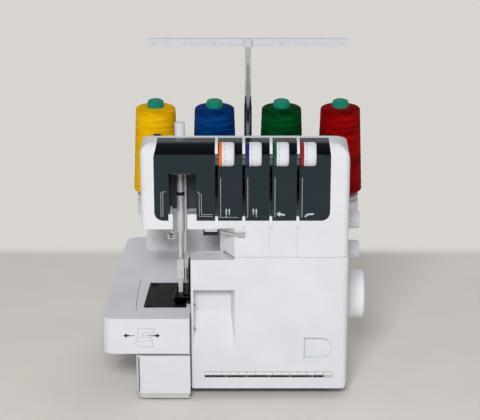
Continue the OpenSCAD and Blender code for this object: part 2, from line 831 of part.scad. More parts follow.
module needle_clamp() {
    color(steel) place() {
        difference() {
            block([needle_x - 4, needle_x + 2.9], [needle_y - 1.6, needle_y + 4.5], [144, 163]);
            rod_z(156, 164, needle_x, needle_y, needle_bar_r);
            for (s = [-0.5, 0.5]) rod_z(143, 152, needle_x - 0.4 + s * needle_gap, needle_y + 0.6, 1);
        }
        for (s = [-0.5, 0.5]) translate([needle_x - 0.4 + s * needle_gap, needle_y - 1.6, 148.5 + s * 3])
            rotate([90, 0, 0]) cylinder(h = 0.8, r = 1.3);
    }
}

module needles() {
    color(steel) place() for (s = [-0.5, 0.5]) translate([needle_x - 0.4 + s * needle_gap,
        needle_y + 0.6, 0]) {
        translate([0, 0, 130]) cylinder(h = 22, r = 1);
        translate([0, 0, 113 - s * 1.5]) cylinder(h = 17 + s * 1.5, r = 0.45);
        translate([0, 0, 109 - s * 1.5]) cylinder(h = 4.01, r1 = 0.08, r2 = 0.45);
    }
}

module presser_bar() {
    color(steel) place() {
        rod_z(thick_z, bar_end + 2, presser_x, presser_y, presser_r);
        rod_z(150, thick_z, presser_x, presser_y, thin_r);
    }
}

module presser_collar() {
    color([0.1, 0.1, 0.1]) place() difference() {
        rod_z(collar_z[0], collar_z[1], presser_x, presser_y, presser_r + collar_t);
        rod_z(collar_z[0] - 1, collar_z[1] + 1, presser_x, presser_y, presser_r);
    }
}

module presser_ankle() {
    color(steel) place() difference() {
        union() {
            block([presser_x - 4.6, presser_x + 3.2], [presser_y - 4.4, presser_y + 2.2], [133, 158]);
            block([presser_x - 3.4, presser_x + 1.6], [presser_y - 2.6, presser_y + 2.2],
                [foot_pivot_z - 3, 134]);
        }
        rod_z(150, 159, presser_x, presser_y, thin_r);
        rod_x(presser_x - 8, presser_x + 8, foot_pivot_y, foot_pivot_z, 1.5 + fit);
    }
}

module presser_foot() {
    color([0.12, 0.12, 0.13]) place() difference() {
        union() {
            along_x(presser_x - 8.2, needle_x - 2.6)
                polygon(rounded([[41, foot_z + 2.6, 0], [48, foot_z, 0], [80, foot_z, 1], [80,
                    foot_z + foot_t - 2.5, 1],
                    [64, foot_z + foot_t, 2], [41, foot_z + foot_t, 1.5]]));
            block([needle_x - 3, needle_x + 5.6], [48.5, 74], [foot_z, foot_z + 2.4]);
            for (x = [presser_x - 6, presser_x + 2.2])
                block([x, x + 2], [foot_pivot_y - 3, foot_pivot_y + 1.6], [foot_z + foot_t - 1,
                    foot_pivot_z + 3]);
            rod_x(presser_x - 6, presser_x + 4.2, foot_pivot_y, foot_pivot_z, 1.5);
        }
        block([needle_x - 4, needle_x + 4], [needle_y - 3, needle_y + 4], [foot_z - 1, foot_z + 12]);
        block([presser_x - 3.9, presser_x + 2.1], [foot_pivot_y - 4.6, foot_pivot_y + 3.6],
            [foot_pivot_z - 5, foot_pivot_z - 1.7]);
    }
}

module presser_lifter() {
    color([0.15, 0.15, 0.16]) place() {
        rod_y(84, body_d + 2, lifter_x, lifter_z, 3);
        block([lifter_x - 3.5, lifter_x + 3.5], [body_d + 1.2, body_d + 3.6], [head_z - 12,
            lifter_z + 4]);
    }
}

module pressure_knob() {
    color(white) place() {
        rod_z(296, 303, presser_x, presser_y, 3.4);
        rod_z(302.9, 324.6, presser_x, presser_y, 5.9);
    }
}

// ---------- loopers, knife and feed ----------
// A looper swings on a shaft along Y. Its arm is an outline in X and Z.
module lower_looper() {
    color(steel) place() {
        rod_y(43, bay_y + 7, -30, 40, 3);
        along_y(44, 47) polygon([[-34, 38], [-26, 38], [-27, 60], [-32, 84], [-40, 92], [-66, 95.6],
            [-60, 91.5], [-42, 87], [-37, 80]]);
    }
}

module upper_looper() {
    color(steel) place() {
        rod_y(33, bay_y + 7, -24, 72, 3);
        along_y(34, 37) polygon([[-28, 69], [-20, 69], [-21, 84], [-30, 104], [-42, 114], [-57, 123],
            [-59.5, 122], [-46, 109], [-34, 98]]);
    }
}

module upper_knife() {
    color([0.1, 0.1, 0.11]) place() {
        rod_x(-65, -54, 53, 150, 2);
        block([-65.6, -62.6], [33, 56], [143, 156]);
        block([-65.6, -62.6], [33, 45], [113, 144]);
        block([-65.6, -64], [33, 47], [bed_z + 1, 114]);
    }
}

module feed_dogs() {
    color(steel) place() {
        block([-86, -77], [50, 78], [90, 97]);
        for (x = [-84, -79]) {
            block([x - 1.3, x + 1.3], [45, 83], [96.9, bed_z - 1]);
            for (i = [0:11]) along_x(x - 1.3, x + 1.3)
                polygon([[46 + i * 3, bed_z - 1.1], [48.6 + i * 3, bed_z - 1.1], [48.6 + i * 3,
                    bed_z - 0.2]]);
        }
    }
}

// ---------- drive ----------
module main_shaft() {
    color(steel) place() {
        rod_x(shaft_x, wheel_end - 3, shaft_y, shaft_z, shaft_r);
        rod_x(pulley_x, pulley_x + pulley_w, shaft_y, shaft_z, pulley_r - 0.5);
        for (x = [shaft_x + 2, 30]) rod_x(x, x + 6, shaft_y + 2, shaft_z, 9);
    }
}

module handwheel() {
    color(white) place() difference() {
        translate([wheel_x, shaft_y, shaft_z]) rotate([0, 90, 0]) rotate_extrude($fn = 96)
            polygon(rounded([[0, 0, 0], [wheel_r - 1.5, 0, 1], [wheel_r, 4, 2], [wheel_r, wheel_w - 2, 3],
                [wheel_r - 3, wheel_w, 2], [wheel_r - 6, wheel_w, 1], [wheel_r - 7, wheel_w - 3, 1],
                [0, wheel_w - 3, 0]]));
        rod_x(wheel_x - 1, wheel_end - 3, shaft_y, shaft_z, shaft_r);
    }
}

module belt_outline(extra) {
    hull() {
        translate([shaft_y, shaft_z]) circle(r = pulley_r + extra, $fn = 64);
        translate([motor_y, motor_z]) circle(r = motor_pulley_r + extra, $fn = 64);
    }
}

module drive_belt() {
    color([0.1, 0.1, 0.1]) place() along_x(pulley_x + 1, pulley_x + pulley_w - 1) difference() {
        belt_outline(belt_t);
        belt_outline(0);
    }
}

module motor() {
    color([0.45, 0.46, 0.48]) place() difference() {
        union() {
            rod_x(20, frame_right - 0.5, motor_y, motor_z, motor_r);
            rod_x(12, 21, motor_y, motor_z, motor_r * 0.5);
            block([30, 80], [motor_y - 16, motor_y + 16], [16.2, 30]);
        }
        rod_x(60, frame_right + 1, motor_y, motor_z, 4 + fit);
    }
}

module motor_pulley() {
    color(steel) place() {
        rod_x(62, pulley_x + pulley_w, motor_y, motor_z, 4);
        rod_x(pulley_x, pulley_x + pulley_w, motor_y, motor_z, motor_pulley_r - 0.5);
    }
}

module side_dial(z) {
    color(white) place() {
        rod_x(body_right - 8, body_right + 1, shaft_y, z, 4);
        translate([body_right + 0.8, shaft_y, z]) rotate([0, 90, 0]) cylinder(h = side_dial_w,
            r1 = side_dial_r, r2 = side_dial_r - 1);
    }
}

module stitch_length_dial() side_dial(stitch_dial_z);
module differential_dial() side_dial(diff_dial_z);

module power_switch() {
    color([0.1, 0.1, 0.1]) place() {
        along_y(inlet_y[0], inlet_y[1]) polygon([[body_right - 6, 62], [body_right + 2.4, 62.4],
            [body_right + 0.6, 68],
            [body_right + 0.2, 73.6], [body_right - 6, 74]]);
        rod_y(inlet_y[0] - 1.5, inlet_y[1] + 1.5, body_right - 4, 68, 1.5);
    }
}

module power_inlet() {
    color([0.1, 0.1, 0.1]) place() difference() {
        block([body_right - 14, body_right + 1], inlet_y, [30, 50]);
        block([body_right - 12, body_right + 2], [inlet_y[0] + 2.5, inlet_y[1] - 2.5], [33, 47]);
    }
    color(steel) place() for (y = [inlet_y[0] + 7, inlet_y[1] - 7]) rod_x(body_right - 12.01,
        body_right - 3, y, 40, 1.5);
}

// ---------- carry handle ----------
// Its own frame: origin on the sloping top, Y down the slope, Z square to it
module tilt_back() translate([0, handle_y, handle_z]) rotate([-top_slope, 0, 0]) children();

// The trough that the folded handle lies in, grown by w so that the casing has a floor under it
module handle_recess(w) {
    side = handle_w / 2 + gap + w;
    tilt_back() {
        for (x = handle_x) block([x - side, x + side], [-6 - w, handle_len + gap + w], [-6 - w, 20]);
        block([handle_x[0] - side, handle_x[1] + side],
            [handle_len - handle_grip - gap - w, handle_len + gap + w], [-4.2 - w, 20]);
        // finger pocket under the grip
        block([-40 - w, 40 + w], [handle_len - handle_grip - 9 - w, handle_len + 9 + w], [-14 - w, 20]);
        for (x = handle_x) rod_x(x - handle_w / 2 - 5, x + handle_w / 2 + 5, 0, handle_pin_z,
            w > 0 ? eps : handle_pin_r + fit);
    }
}

module carry_handle() {
    color([0.1, 0.1, 0.1]) place() tilt_back() {
        for (x = handle_x) block([x - handle_w / 2, x + handle_w / 2], [-4,
            handle_len - handle_grip + 1], [-3.6, 2.8]);
        block([handle_x[0] - handle_w / 2, handle_x[1] + handle_w / 2], [handle_len - handle_grip,
            handle_len], [-3.6, 2.8]);
        for (x = handle_x) rod_x(x - handle_w / 2 - 3.4, x + handle_w / 2 + 3.4, 0, handle_pin_z,
            handle_pin_r);
    }
}

// ---------- thread stand ----------
module spool_stand() {
    color(white) place() difference() {
        union() {
            along_z(tray_z - tray_t, tray_z) polygon(rounded([[stand_x - tray_left,
                cone_y - tray_half_d, 14],
                [stand_x + tray_left, cone_y - tray_half_d, 14], [stand_x + tray_left,
                    cone_y + tray_half_d, 28],
                [stand_x - tray_left, cone_y + tray_half_d, 28]], 8));
            block([stand_x - 30, stand_x + 30], [body_d + 0.1, cone_y - tray_half_d + 1],
                [tray_z - tray_t, tray_z]);
        }
        along_z(tray_z - tray_t - 1, tray_z - wall) polygon(rounded([
            [stand_x - tray_left + wall, cone_y - tray_half_d + wall, 12], [stand_x + tray_left - wall,
                cone_y - tray_half_d + wall, 12],
            [stand_x + tray_left - wall, cone_y + tray_half_d - wall, 26], [stand_x - tray_left + wall,
                cone_y + tray_half_d - wall, 26]], 8));
        for (x = pins) rod_z(tray_z - 10, tray_z + 1, x, cone_y, pin_r);
        rod_z(tray_z - 10, tray_z + 1, stand_x, cone_y, pole_r + 2 * (pole_wall + fit));
    }
}

module cone_holders() {
    color(white) place() for (x = pins) translate([x, cone_y, 0]) {
        translate([0, 0, tray_z - wall]) cylinder(h = pin_h, r = pin_r);
        translate([0, 0, tray_z]) difference() {
            cylinder(h = 3, r = 24);
            translate([0, 0, -1]) cylinder(h = 5, r = pin_r);
        }
        translate([0, 0, tray_z + 3]) difference() {
            cylinder(h = 30, r1 = 14, r2 = 8);
            translate([0, 0, -1]) cylinder(h = 32, r = pin_r);
        }
    }
}

module thread_cone(i) {
    top = cone_z + cone_h;
    place() translate([pins[i], cone_y, 0]) {
        color([0.1, 0.6, 0.5]) rotate_extrude() polygon([[core_foot_r - core_wall, cone_z - 2],
            [core_foot_r, cone_z - 2],
            [core_r, top - 3], [core_r - 2, top], [0, top], [0, top - core_wall],
                [core_r - core_wall - 1, top - 4]]);
        color("gold") rotate_extrude() polygon([[core_foot_r - 0.14 + fit, cone_z], [cone_r - 1.5,
            cone_z], [cone_r, cone_z + 2],
            [cone_top_r, top - 12], [cone_top_r - 2, top - 9.5], [core_r + 3, top - 8],
            [core_r + 0.4 + fit, top - 8]]);
    }
}

module thread_cone_1() thread_cone(0);
module thread_cone_2() thread_cone(1);
module thread_cone_3() thread_cone(2);
module thread_cone_4() thread_cone(3);

module pole_tube(r, z0, z1, floor_t) {
    difference() {
        rod_z(z0, z1, stand_x, cone_y, r);
        rod_z(z0 + floor_t, z1 + 1, stand_x, cone_y, r - pole_wall);
    }
}

module pole_outer() {
    color(steel) place() pole_tube(pole_r + 2 * (pole_wall + fit), tray_z - wall, pole_joint_1, 2);
}

module pole_middle() {
    color(steel) place() pole_tube(pole_r + pole_wall + fit, tray_z + 12, pole_joint_2, 1);
}

module pole_inner() {
    color(steel) place() rod_z(tray_z + 74, bar_top - bar_h + 1, stand_x, cone_y, pole_r);
}

module thread_guide_bar() {
    color([0.82, 0.83, 0.88]) place() difference() {
        union() {
            along_y(cone_y - 2.2, cone_y + 2.2) polygon(rounded([[stand_x - bar_half, bar_top - bar_h,
                4.5],
                [stand_x + bar_half, bar_top - bar_h, 4.5], [stand_x + bar_half, bar_top, 4.5],
                    [stand_x - bar_half, bar_top, 4.5]]));
            rod_z(bar_top - bar_h, bar_top - 1, stand_x, cone_y, pole_r + 2.4);
        }
        rod_z(bar_top - bar_h - 1, bar_top - bar_h + 1, stand_x, cone_y, pole_r);
        for (x = pins) rod_y(cone_y - 4, cone_y + 4, x, bar_top - bar_h / 2, 2);
    }
}

base_plate();
rubber_feet();
main_frame();
front_casing();
rear_cover();
side_panel();
needle_bay_liner();
fascia_panel();
free_arm_shell();
needle_plate();
needle_plate_screws();
lower_knife();
looper_cover();
cover_hinge_rod();
extension_table();
tension_dial_1();
tension_dial_2();
tension_dial_3();
tension_dial_4();
tension_disc_sets();
tension_bracket();
top_thread_guides();
channel_guides();
led_lamp();
take_up_guard();
bar_thread_guide();
needle_bar();
needle_clamp();
needles();
presser_bar();
presser_collar();
presser_ankle();
presser_foot();
presser_lifter();
pressure_knob();
upper_looper();
lower_looper();
upper_knife();
feed_dogs();
main_shaft();
shaft_bearings();
handwheel();
drive_belt();
motor();
motor_pulley();
stitch_length_dial();
differential_dial();
power_switch();
power_inlet();
carry_handle();
spool_stand();
cone_holders();
thread_cone_1();
thread_cone_2();
thread_cone_3();
thread_cone_4();
pole_outer();
pole_middle();
pole_inner();
thread_guide_bar();
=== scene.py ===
import math

import bmesh
import bpy
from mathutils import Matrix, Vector


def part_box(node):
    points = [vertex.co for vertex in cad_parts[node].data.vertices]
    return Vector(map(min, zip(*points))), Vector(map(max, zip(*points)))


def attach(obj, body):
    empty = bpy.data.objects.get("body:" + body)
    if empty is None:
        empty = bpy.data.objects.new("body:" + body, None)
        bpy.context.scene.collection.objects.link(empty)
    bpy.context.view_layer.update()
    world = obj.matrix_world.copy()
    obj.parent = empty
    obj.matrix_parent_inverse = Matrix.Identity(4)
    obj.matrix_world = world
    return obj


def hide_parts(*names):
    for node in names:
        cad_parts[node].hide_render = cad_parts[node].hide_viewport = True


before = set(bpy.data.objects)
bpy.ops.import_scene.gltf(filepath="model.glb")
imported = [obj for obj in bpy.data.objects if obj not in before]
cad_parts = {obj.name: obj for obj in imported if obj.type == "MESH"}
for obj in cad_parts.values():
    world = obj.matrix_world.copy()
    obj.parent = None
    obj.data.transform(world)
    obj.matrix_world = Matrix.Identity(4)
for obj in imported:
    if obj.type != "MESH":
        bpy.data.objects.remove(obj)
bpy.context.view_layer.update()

# ---------------------------------------------------------------- frame and sizes
# Sizes are in millimetres on the maker's bench: X from the middle of the body, Y back from the
# front of the casing, Z up from the table top. STEP_X and STEP_Y carry a bench point into the
# model's frame, which has its own origin.
BODY_LEFT, BODY_RIGHT = 118.0, 120.0            # the casing's reach to either side
HEAD_Z = 212.0                                  # underside of the head
CHANNELS = [-31.4 + 30.9 * i for i in range(4)]  # thread channels in the dark panel
DIAL_GAP, DIAL_W, DIAL_R = 2.8, 17.4, 14.5
DIAL_Y, DIAL_Z = 9.5, 299.0
RING_W = 3.4                                    # width of the coloured ring on a tension dial
PRESSER = (-74.2, 50.0)                         # presser bar, in plan
NEEDLE = (-68.9, 55.0)                          # needle bar, in plan
SHAFT = (78.0, 101.0)                           # main shaft, depth and height
CONES = [-108.0, -36.0, 46.0, 118.0]            # the cones' places along X
CONE_Y, CONE_FOOT, CONE_TIP = 182.0, 200.0, 314.0
PRINT = 0.04                                    # thickness of a printed line

casing_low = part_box("front_casing")[0]
STEP_X = casing_low.x * 1000 + BODY_LEFT
STEP_Y = casing_low.y * 1000


def at(x, y, z):
    """A bench point in the model's frame, in metres."""
    return Vector((x + STEP_X, y + STEP_Y, z)) / 1000


def colour(code):
    """An sRGB hex colour as the linear values that a shader takes."""
    parts = [int(code[i:i + 2], 16) / 255 for i in (1, 3, 5)]
    return tuple(p / 12.92 if p <= 0.04045 else ((p + 0.055) / 1.055) ** 2.4 for p in parts) + (1.0,)


# ---------------------------------------------------------------- materials
def add(tree, kind, inputs=None, stops=None, **settings):
    """Adds one node: its settings, its inputs' values or links, and a ramp's stops."""
    made = tree.nodes.new("ShaderNode" + kind)
    for key, value in settings.items():
        setattr(made, key, value)
    if stops:
        ramp = made.color_ramp
        while len(ramp.elements) < len(stops):
            ramp.elements.new(0.5)
        for element, (place, code) in zip(ramp.elements, stops):
            element.position, element.color = place, colour(code)
    for key, value in (inputs or {}).items():
        if isinstance(value, bpy.types.NodeSocket):
            tree.links.new(value, made.inputs[key])
        else:
            made.inputs[key].default_value = value
    return made


def new_material(name):
    material = bpy.data.materials.new(name)
    material.use_nodes = True
    material.node_tree.nodes.clear()
    return material, material.node_tree


def close(material, tree, shader):
    add(tree, "OutputMaterial", {"Surface": shader.outputs[0]})
    return material


def per_mm(size):
    """Noise scale that gives features of this size in millimetres."""
    return 1000.0 / size


def moulded(name, base, shade, rough, grain=0.5, depth=0.02, ior=1.53, spread=0.05, level=0.5,
            tint=(1.0, 1.0, 1.0)):
    """A moulded plastic: two close tones in wide patches, and the fine grain of the mould."""
    material, tree = new_material(name)
    place = add(tree, "TexCoord").outputs["Object"]
    patches = add(tree, "TexNoise", {"Vector": place, "Scale": per_mm(60), "Detail": 2.0})
    tone = add(tree, "ValToRGB", {"Fac": patches.outputs["Fac"]}, stops=[(0.35, shade), (0.65, base)])
    fine = add(tree, "TexNoise", {"Vector": place, "Scale": per_mm(grain), "Detail": 2.0, "Roughness": 0.6})
    gloss = add(tree, "MapRange", {"Value": fine.outputs["Fac"], "From Min": 0.3, "From Max": 0.7,
                                   "To Min": rough - spread, "To Max": rough + spread})
    relief = add(tree, "Bump", {"Height": fine.outputs["Fac"], "Strength": 0.35, "Distance": depth / 1000})
    shader = add(tree, "BsdfPrincipled",
                 {"Base Color": tone.outputs["Color"], "Roughness": gloss.outputs["Result"], "IOR": ior,
                  "Specular IOR Level": level, "Specular Tint": tint + (1.0,),
                  "Normal": relief.outputs["Normal"]})
    return close(material, tree, shader)


def metal(name, base, shade, rough, lay=(1.0, 1.0, 1.0), grain=0.4, depth=0.01, spread=0.06, pure=1.0):
    """A metal with the fine lay that its last pass left: lay stretches the grain along an axis."""
    material, tree = new_material(name)
    place = add(tree, "TexCoord").outputs["Object"]
    stretched = add(tree, "Mapping", {"Vector": place, "Scale": lay})
    fine = add(tree, "TexNoise",
               {"Vector": stretched.outputs["Vector"], "Scale": per_mm(grain), "Detail": 3.0})
    patches = add(tree, "TexNoise", {"Vector": place, "Scale": per_mm(14), "Detail": 2.0})
    tone = add(tree, "ValToRGB", {"Fac": patches.outputs["Fac"]}, stops=[(0.3, shade), (0.7, base)])
    gloss = add(tree, "MapRange", {"Value": fine.outputs["Fac"], "From Min": 0.3, "From Max": 0.7,
                                   "To Min": rough - spread, "To Max": rough + spread})
    relief = add(tree, "Bump", {"Height": fine.outputs["Fac"], "Strength": 0.3, "Distance": depth / 1000})
    shader = add(tree, "BsdfPrincipled", {"Base Color": tone.outputs["Color"], "Metallic": pure,
                                          "Roughness": gloss.outputs["Result"],
                                          "Normal": relief.outputs["Normal"]})
    return close(material, tree, shader)


def wound_thread(name, base, deep, light):
    """Spun polyester sewing thread, cross wound: fine turns, nearly level, in slightly uneven bands."""
    material, tree = new_material(name)
    place = add(tree, "TexCoord").outputs["Object"]
    level = add(tree, "Mapping", {"Vector": place, "Scale": (0.07, 0.07, 1.0)})
    turns = add(tree, "TexNoise", {"Vector": level.outputs["Vector"], "Scale": per_mm(1.5), "Detail": 3.0})
    bands = add(tree, "TexNoise", {"Vector": level.outputs["Vector"], "Scale": per_mm(6), "Detail": 2.0})
    share = add(tree, "Math", {0: bands.outputs["Fac"], 1: 0.5}, operation="MULTIPLY")
    mix = add(tree, "Math", {0: turns.outputs["Fac"], 1: 0.5, 2: share.outputs[0]},
              operation="MULTIPLY_ADD")
    tone = add(tree, "ValToRGB", {"Fac": mix.outputs[0]}, stops=[(0.36, deep), (0.5, base), (0.66, light)])
    relief = add(tree, "Bump", {"Height": turns.outputs["Fac"], "Strength": 0.5, "Distance": 0.00015})
    shader = add(tree, "BsdfPrincipled", {"Base Color": tone.outputs["Color"], "Roughness": 0.8, "IOR": 1.5,
                                          "Specular IOR Level": 0.1, "Normal": relief.outputs["Normal"]})
    return close(material, tree, shader)


def frosted(name, base, rough, share, ior=1.49, grain=1.2):
    """A milky clear plastic: some light passes through, and the rest is scattered in it."""
    material, tree = new_material(name)
    place = add(tree, "TexCoord").outputs["Object"]
    cloud = add(tree, "TexNoise", {"Vector": place, "Scale": per_mm(grain), "Detail": 2.0})
    gloss = add(tree, "MapRange",
                {"Value": cloud.outputs["Fac"], "To Min": rough - 0.05, "To Max": rough + 0.05})
    shader = add(tree, "BsdfPrincipled",
                 {"Base Color": colour(base), "Roughness": gloss.outputs["Result"], "IOR": ior,
                  "Transmission Weight": share, "Subsurface Weight": 0.1, "Subsurface Scale": 0.002})
    return close(material, tree, shader)


# Acrylonitrile butadiene styrene, moulded in a spark-eroded tool: satin white with a very fine grain
white_abs = moulded("moulded_white_abs", "#e1e3e9", "#dcdee4", 0.4)
# The same plastic on the handwheel, painted a shade brighter: painted light that lifts the side face, which
# the lamps light less
lit_wheel_abs = moulded("white_abs_painted_brighter", "#f1f2f6", "#eceef2", 0.36)
# The same plastic on the base plate, a little greyer
grey_abs = moulded("moulded_light_grey_abs", "#c6c7c6", "#c0c1c0", 0.45)
# Acrylic-capped ABS, moulded in a polished tool: a near black panel. Its reflection is tinted blue
slate_abs = moulded("polished_slate_abs", "#0c0d0e", "#0a0b0c", 0.13, grain=2.5, depth=0.008, spread=0.03,
                    level=0.7, tint=(0.55, 0.82, 1.0))
# The same slate plastic, spark-eroded, inside the needle bay
slate_satin = moulded("moulded_slate_abs", "#3a424c", "#343b45", 0.5, grain=0.5)
# Black ABS, moulded, satin
black_abs = moulded("moulded_black_abs", "#17181a", "#131416", 0.4, grain=0.6)
# Nitrile rubber, moulded, dull
rubber = moulded("moulded_nitrile_rubber", "#1b1b1b", "#151515", 0.75, grain=0.8, depth=0.05, ior=1.52)
# Acetal, moulded: the hard slippery white of thread guides, faintly blue
acetal = moulded("moulded_acetal", "#e9ebf0", "#dfe3ec", 0.3, grain=1.0, depth=0.01)
# Polypropylene, moulded: the waxy teal of a cone's tube
teal_pp = moulded("moulded_teal_polypropylene", "#078a72", "#057c66", 0.45, grain=1.5, depth=0.02)
# Aluminium, sand cast: dull and grainy
cast_aluminium = metal("sand_cast_aluminium", "#a9abad", "#97999b", 0.55, grain=0.9, depth=0.06)
# Steel, chrome plated and polished: near mirror with a faint drawn lay
chrome = metal("polished_chrome_plate", "#dcdde0", "#cfd0d4", 0.12, lay=(1.0, 1.0, 0.05), spread=0.04)
# Steel, bead blasted and chrome plated. Half metallic is a look brighter than the real finish
satin_chrome = metal("satin_chrome_plate", "#e6e7ea", "#dcdde0", 0.3, lay=(1.0, 1.0, 0.05), spread=0.05,
                     pure=0.5)
# Tool steel, ground: bright with a visible grinding lay
tool_steel = metal("ground_tool_steel", "#c3c4c6", "#aeb0b3", 0.28, lay=(0.1, 1.0, 1.0))
# Steel plate, ground and black oxidised: near black with a brown cast
black_oxide = metal("black_oxided_steel", "#2b2922", "#211f1b", 0.42, lay=(0.15, 1.0, 1.0), grain=0.8)
# Spring steel, blackened, on the knife and the foot
blackened = metal("blackened_spring_steel", "#2a2b2f", "#1d1e21", 0.33, grain=0.7)
# Bronze, sintered, in the shaft's bearings
bronze = metal("sintered_bronze", "#b08447", "#96703c", 0.45, grain=0.3, depth=0.03)
# Steel can of the motor, sprayed grey
motor_paint = moulded("sprayed_grey_enamel", "#6a6c70", "#606266", 0.45, grain=1.4, depth=0.03, ior=1.5)
# Polycarbonate, moulded milky: the thread guide bar and the lamp's window
milky_pc = frosted("moulded_milky_polycarbonate", "#dcdfea", 0.3, 0.12, ior=1.58)
lamp_window = frosted("moulded_lamp_window", "#f2f2ea", 0.4, 0.5, ior=1.58)
# Pad printing ink: a thin dull film
white_ink = moulded("pad_printed_white_ink", "#c9ccd0", "#bfc2c6", 0.6, grain=0.3, depth=0.005)
# The black ink also paints shade into the cover screws' slots
black_ink_and_slot_shade = moulded("pad_printed_black_ink_and_painted_slot_shade", "#1a1b1e", "#222327", 0.6, grain=0.3, depth=0.005)
grey_ink = moulded("pad_printed_grey_ink", "#8d8f93", "#85878b", 0.6, grain=0.3, depth=0.005)
stripe_colours = [("orange", "#ee7110", "#e46a0c"), ("navy", "#1c1f78", "#181b6c"),
                  ("green", "#0c5a38", "#0a5233"), ("red", "#a5121f", "#980f1b")]
# Coloured rings pressed on the dials, moulded in ABS
stripes = [moulded(f"moulded_{n}_abs", a, b, 0.4) for n, a, b in stripe_colours]
# Polyester sewing thread, wound on the cones
threads = [wound_thread("wound_yellow_thread", "#ecb600", "#d49c00", "#f4c41c"),
           wound_thread("wound_blue_thread", "#003a79", "#001f50", "#0a4c92"),
           wound_thread("wound_green_thread", "#00481d", "#002a12", "#065c2a"),
           wound_thread("wound_red_thread", "#8e0103", "#5c0002", "#a2080a")]

# ---------------------------------------------------------------- CAD pieces that show as they are
CAD_FINISH = {
    # material: [(node, width of the eased edge in mm), ...]
    white_abs: [("front_casing", 0.9), ("rear_cover", 0.9), ("side_panel", 0.5), ("looper_cover", 0.9),
                ("extension_table", 1.2), ("spool_stand", 0.9), ("cone_holders", 0.3),
                ("pressure_knob", 0.7), ("free_arm_shell", 1.0)],
    lit_wheel_abs: [("handwheel", 0.3)],
    grey_abs: [("base_plate", 0.8)],
    slate_abs: [("fascia_panel", 0.25)],
    slate_satin: [("needle_bay_liner", 0.4)],
    black_abs: [("carry_handle", 1.0), ("power_switch", 0.4), ("power_inlet", 0.5), ("led_lamp", 0.4),
                ("presser_lifter", 0.8), ("presser_collar", 0.3)],
    rubber: [("rubber_feet", 0.4), ("drive_belt", 0.2)],
    acetal: [("top_thread_guides", 0.2), ("channel_guides", 0.25), ("bar_thread_guide", 0.4)],
    cast_aluminium: [("main_frame", 0.8)],
    satin_chrome: [("presser_bar", 0.3), ("needle_bar", 0.2), ("needle_clamp", 0.4),
                   ("presser_ankle", 0.5)],
    chrome: [("cover_hinge_rod", 0.3), ("pole_outer", 0.1),
             ("pole_middle", 0.1), ("pole_inner", 0.3), ("take_up_guard", 0.4)],
    tool_steel: [("needles", 0.0), ("lower_knife", 0.1), ("upper_looper", 0.4), ("lower_looper", 0.4),
                 ("feed_dogs", 0.0), ("tension_disc_sets", 0.15), ("main_shaft", 0.3),
                 ("tension_bracket", 0.3), ("motor_pulley", 0.3)],
    black_oxide: [("needle_plate", 0.25), ("needle_plate_screws", 0.1)],
    blackened: [("upper_knife", 0.3), ("presser_foot", 0.5)],
    bronze: [("shaft_bearings", 0.2)],
    motor_paint: [("motor", 0.8)],
    milky_pc: [("thread_guide_bar", 0.8)],
}


def ease(obj, width, segments=2, angle=25):
    """Rounds a part's sharp edges, and shades its flats flat and its curves smooth."""
    weld = obj.modifiers.new("weld", "WELD")
    weld.merge_threshold = 2e-6
    flats = obj.modifiers.new("whole_flats", "DECIMATE")
    flats.decimate_type, flats.angle_limit = "DISSOLVE", math.radians(0.2)
    if width > 0:
        bevel = obj.modifiers.new("eased_edges", "BEVEL")
        bevel.width, bevel.segments = width / 1000, segments
        bevel.limit_method, bevel.angle_limit = "ANGLE", math.radians(angle)
        bevel.use_clamp_overlap = True
    for face in obj.data.polygons:
        face.use_smooth = True
    shade = obj.modifiers.new("shade", "WEIGHTED_NORMAL")
    shade.weight, shade.keep_sharp = 60, False


for finish, parts in CAD_FINISH.items():
    for part, width in parts:
        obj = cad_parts[part]
        obj.data.materials.clear()
        obj.data.materials.append(finish)
        ease(obj, width)


# ---------------------------------------------------------------- making pieces
def piece(name, points, faces, material, body, slot, origin=None, smooth=True, instead=()):
    """A named mesh from bench points in millimetres, riding on a body. Its object sits at origin."""
    base = at(*origin) if origin else Vector((0, 0, 0))
    mesh = bpy.data.meshes.new(name)
    mesh.from_pydata([at(*p) - base for p in points], [], faces)
    made = bmesh.new()
    made.from_mesh(mesh)
    bmesh.ops.remove_doubles(made, verts=made.verts, dist=1e-7)
    bmesh.ops.recalc_face_normals(made, faces=made.faces)
    for face in made.faces:
        face.smooth = smooth
    made.to_mesh(mesh)
    made.free()
    mesh.materials.append(material)
    obj = bpy.data.objects.new(name, mesh)
    obj.location = base
    bpy.context.scene.collection.objects.link(obj)
    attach(obj, body)
    if instead:
        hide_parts(*instead)
    return obj


def lathe(profile, centre, axis="Z", steps=96, ring=None):
    """Points and faces of a turned shape. profile is (radius, place along the axis); ring(angle, r, t)
    may change a radius. The ends close where their radius is 0."""
    points, faces = [], []
    for r, t in profile:
        for i in range(steps):
            angle = 2 * math.pi * i / steps
            radius = ring(angle, r, t) if ring else r
            a, b = radius * math.cos(angle), radius * math.sin(angle)
            x, y, z = centre
            points.append((x + a, y + b, z + t) if axis == "Z" else (x + t, y + a, z + b))
    for j in range(len(profile) - 1):
        for i in range(steps):
            k = (i + 1) % steps
            faces.append((j * steps + i, j * steps + k, (j + 1) * steps + k, (j + 1) * steps + i))
    return points, faces


